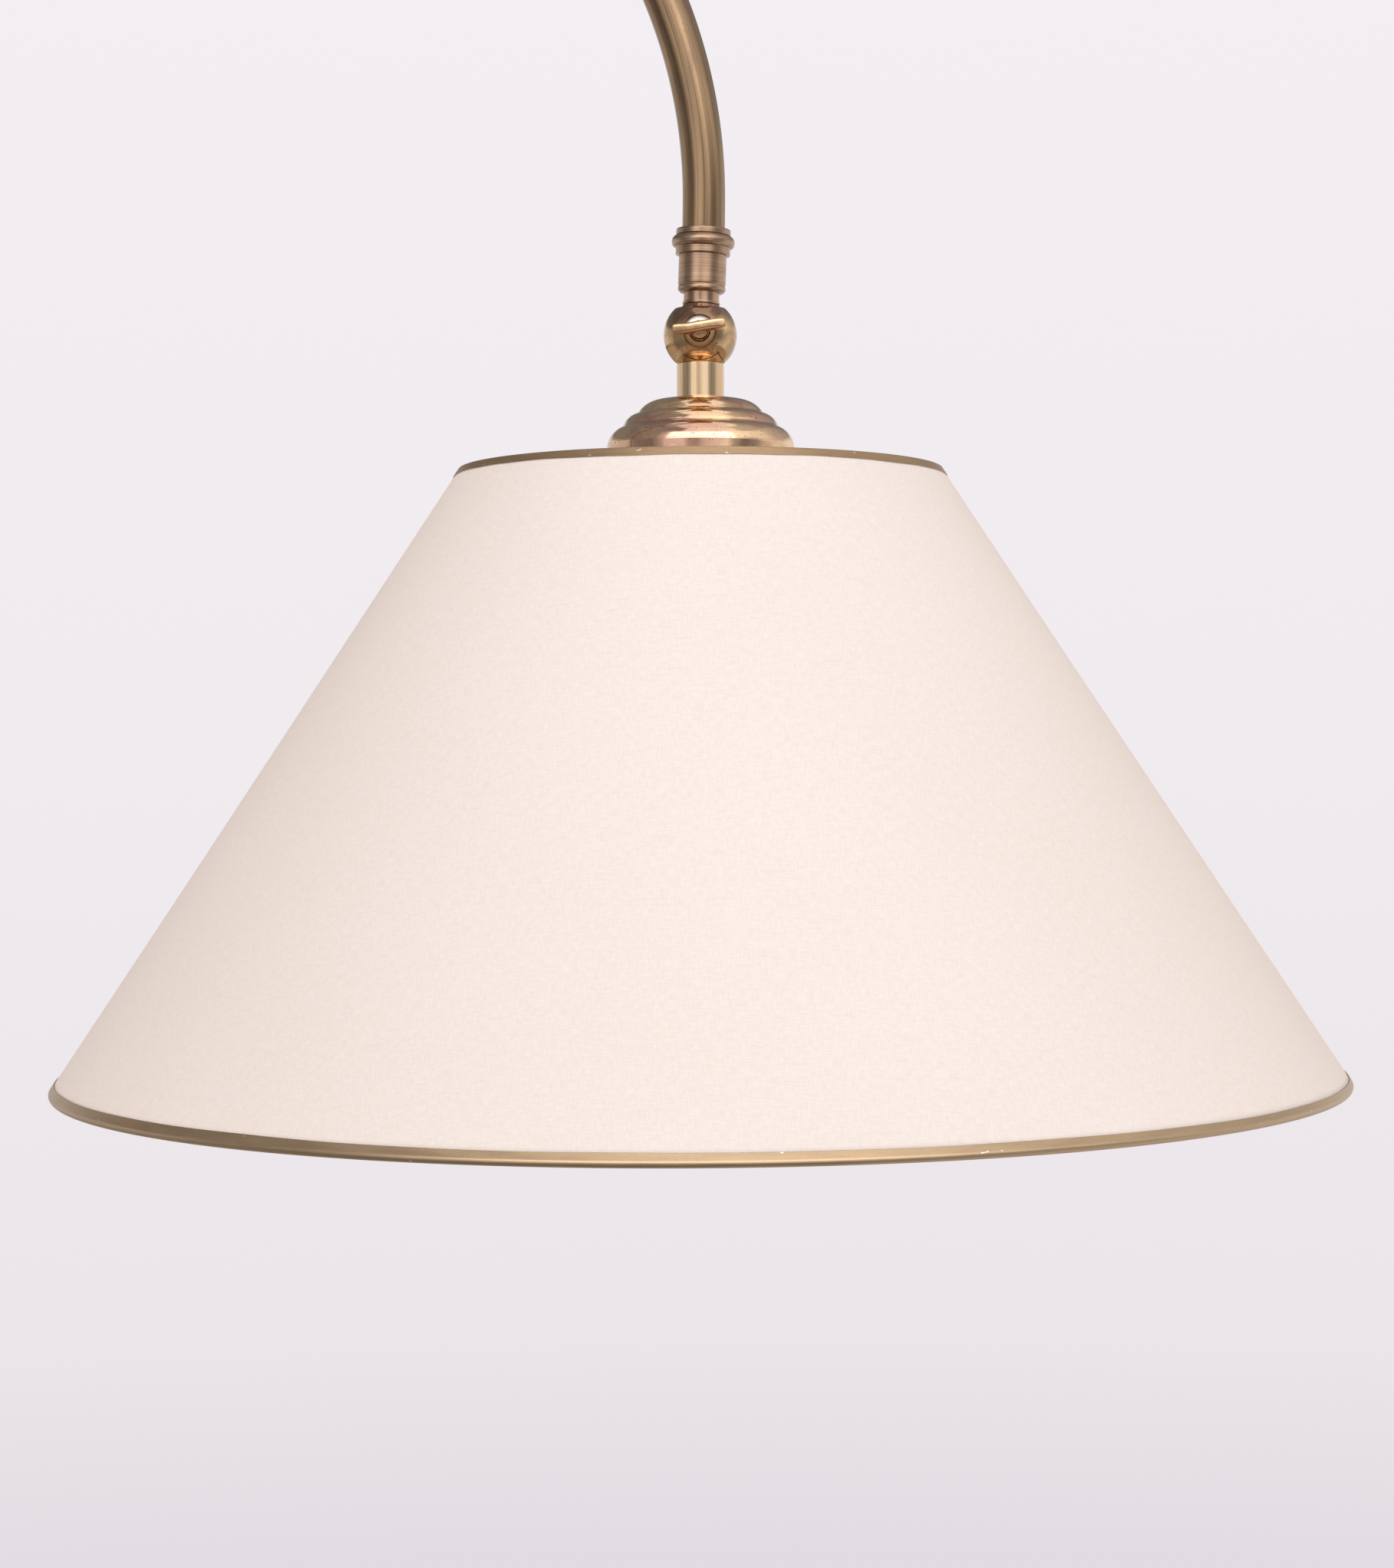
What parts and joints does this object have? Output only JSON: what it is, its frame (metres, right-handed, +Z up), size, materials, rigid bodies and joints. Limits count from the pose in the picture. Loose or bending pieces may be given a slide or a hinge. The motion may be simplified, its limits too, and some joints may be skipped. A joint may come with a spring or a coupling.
{
  "type": "bridge floor lamp",
  "caption": "Bridge floor lamp: weighted round base, telescopic column, swivelling arch arm, tilting ball knuckle and a wide cone-shaped fabric shade.",
  "frame": {"origin": "centre of the base's underside, on the column's axis", "axes": "+Z up along the column; +X from the column towards the shade; the knuckle hinges about Y and its wing screw faces -Y"},
  "size_m": [0.7366, 0.4498, 1.5983],
  "materials": {
    "antique_brass": "brushed antique brass, lacquered, with lengthwise streaks",
    "polished_brass": "polished brass with pinkish tarnish and fine pits",
    "bronzed_brass": "polished cast brass, darkened",
    "plain_brass": "turned brass, not lacquered",
    "cast_iron": "rough cast, painted black",
    "felt": "dense wool felt",
    "nylon": "natural nylon",
    "shade_fabric": "cream linen weave laminated on a stiff backing",
    "gold_tape": "dull gold paper tape",
    "white_wire": "white powder coat",
    "zinc_steel": "bright plated steel",
    "phenolic": "black moulded phenolic",
    "opal_glass": "opal white, frosted inside"
  },
  "bodies": {
    "stand": {"base_pad": "felt", "base_weight": "cast_iron", "base_cover": "antique_brass", "base_washer": "plain_brass", "base_nut": "plain_brass", "cord_bush": "phenolic", "column_foot": "plain_brass", "column_tube": "antique_brass", "foot_collar": "antique_brass", "clamp_collar": "antique_brass", "guide_liner": "nylon"},
    "height_screw": {"height_screw": "bronzed_brass"},
    "mast": {"mast_tube": "antique_brass", "mast_bush": "nylon", "swivel_socket": "antique_brass"},
    "arm": {"swivel_spigot": "plain_brass", "swivel_clip": "zinc_steel", "root_collar": "antique_brass", "arm_tube": "antique_brass", "arm_ferrule": "antique_brass", "end_sleeve": "antique_brass", "joint_stem": "antique_brass", "knuckle_front": "bronzed_brass", "knuckle_washer": "polished_brass"},
    "knuckle_screw": {"knuckle_screw": "bronzed_brass"},
    "head": {"knuckle_back": "bronzed_brass", "neck_sleeve": "polished_brass", "shade_cap": "polished_brass", "cap_nut": "plain_brass", "head_nipple": "plain_brass", "hub_spacer": "plain_brass", "shade_fitter": "white_wire", "bottom_ring": "white_wire", "shade_skin": "shade_fabric", "top_trim": "gold_tape", "bottom_trim": "gold_tape", "holder_cap": "phenolic", "holder_body": "phenolic", "holder_shell": "plain_brass", "centre_contact": "plain_brass", "bulb_base": "zinc_steel", "bulb_glass": "opal_glass"}
  },
  "joints": [
    {"name": "height_slide", "type": "slide", "parent": "stand", "child": "mast", "axis": [0, 0, 1], "range_m": [-0.15, 0.15]},
    {"name": "arm_swivel", "type": "hinge", "parent": "mast", "child": "arm", "pos_m": [0, 0, 1.245], "axis": [0, 0, 1], "range_deg": [-175, 175]},
    {"name": "knuckle_tilt", "type": "hinge", "parent": "arm", "child": "head", "pos_m": [0.37, 0, 1.35527], "axis": [0, 1, 0], "range_deg": [0, 30]},
    {"name": "knuckle_screw_turn", "type": "hinge", "parent": "arm", "child": "knuckle_screw", "pos_m": [0.37, -0.0093, 1.35527], "axis": [0, -1, 0], "range_deg": [0, 360]},
    {"name": "height_screw_turn", "type": "hinge", "parent": "stand", "child": "height_screw", "pos_m": [0, -0.018, 0.93612], "axis": [0, -1, 0], "range_deg": [0, 360]}
  ]
}
